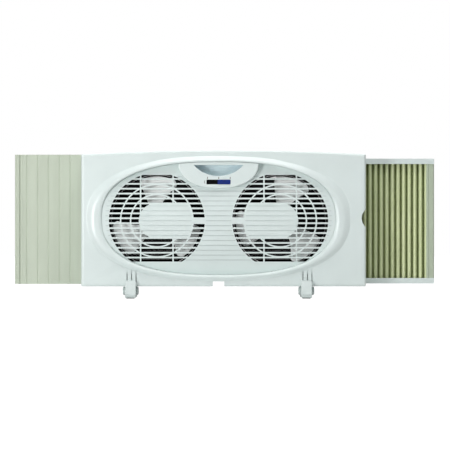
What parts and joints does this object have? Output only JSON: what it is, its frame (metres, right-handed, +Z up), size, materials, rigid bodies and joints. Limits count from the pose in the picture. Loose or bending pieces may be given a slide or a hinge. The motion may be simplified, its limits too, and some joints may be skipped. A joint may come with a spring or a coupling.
{
  "type": "window fan",
  "caption": "Twin-fan window unit with an oval slatted grille, a control pod with a hand recess, a grooved filler panel, a pleated sliding expander and slip-on feet.",
  "frame": {"origin": "floor level under the middle of the whole object, halfway along its width and its depth", "axes": "+X to the right as seen from the front, along the length from filler panel to end bar; -Y the front with the grille; +Z up"},
  "size_m": [0.846, 0.155, 0.297],
  "materials": {
    "case_white": "satin cool white",
    "blade_white": "satin white",
    "recess_grey": "satin blue-grey",
    "switch_blue": "gloss blue",
    "inner_black": "matt black",
    "panel_beige": "matt warm beige",
    "curtain_green": "matt sage sheet",
    "bar_green": "matt grey-green",
    "steel": "plain zinc plate",
    "rubber_grey": "matt grey rubber"
  },
  "bodies": {
    "case": {"front_housing": "case_white", "rear_housing": "case_white", "front_grille": "case_white", "control_pod": "case_white", "hand_cup": "recess_grey", "switch_body": "inner_black", "left_duct": "inner_black", "right_duct": "inner_black", "left_rear_grille": "inner_black", "right_rear_grille": "inner_black", "left_motor_mount": "steel", "right_motor_mount": "steel", "left_motor_can": "steel", "right_motor_can": "steel", "left_motor_cap": "steel", "right_motor_cap": "steel", "run_capacitor": "inner_black", "cord_inlet": "inner_black", "case_screws": "steel", "top_guide": "case_white", "bottom_guide": "case_white", "curtain_anchor": "curtain_green", "curtain": "curtain_green"},
    "left_fan": {"left_shaft": "steel", "left_rotor": "steel", "left_impeller": "blade_white", "left_hub_nut": "inner_black"},
    "right_fan": {"right_shaft": "steel", "right_rotor": "steel", "right_impeller": "blade_white", "right_hub_nut": "inner_black"},
    "knob": {"switch_knob": "switch_blue"},
    "expander": {"top_rail": "case_white", "bottom_rail": "case_white", "end_bar": "bar_green"},
    "filler": {"filler_panel": "panel_beige", "filler_strip": "panel_beige"},
    "foot_left": {"left_foot": "case_white", "left_foot_pads": "rubber_grey"},
    "foot_right": {"right_foot": "case_white", "right_foot_pads": "rubber_grey"}
  },
  "joints": [
    {"name": "left_fan_spin", "type": "hinge", "parent": "case", "child": "left_fan", "pos_m": [-0.1355, 0, 0.15555], "axis": [0, 1, 0], "continuous": true},
    {"name": "right_fan_spin", "type": "hinge", "parent": "case", "child": "right_fan", "pos_m": [0.1115, 0, 0.15555], "axis": [0, 1, 0], "continuous": true},
    {"name": "knob_slide", "type": "slide", "parent": "case", "child": "knob", "axis": [1, 0, 0], "range_m": [-0.024, 0]},
    {"name": "expander_slide", "type": "slide", "parent": "case", "child": "expander", "axis": [1, 0, 0], "range_m": [-0.123, 0], "deforming": ["curtain"]},
    {"name": "filler_slide", "type": "slide", "parent": "case", "child": "filler", "axis": [-1, 0, 0], "range_m": [0, 0.03]},
    {"name": "left_foot_drop", "type": "slide", "parent": "case", "child": "foot_left", "axis": [0, 0, -1], "range_m": [0, 0.03]},
    {"name": "right_foot_drop", "type": "slide", "parent": "case", "child": "foot_right", "axis": [0, 0, -1], "range_m": [0, 0.03]}
  ]
}
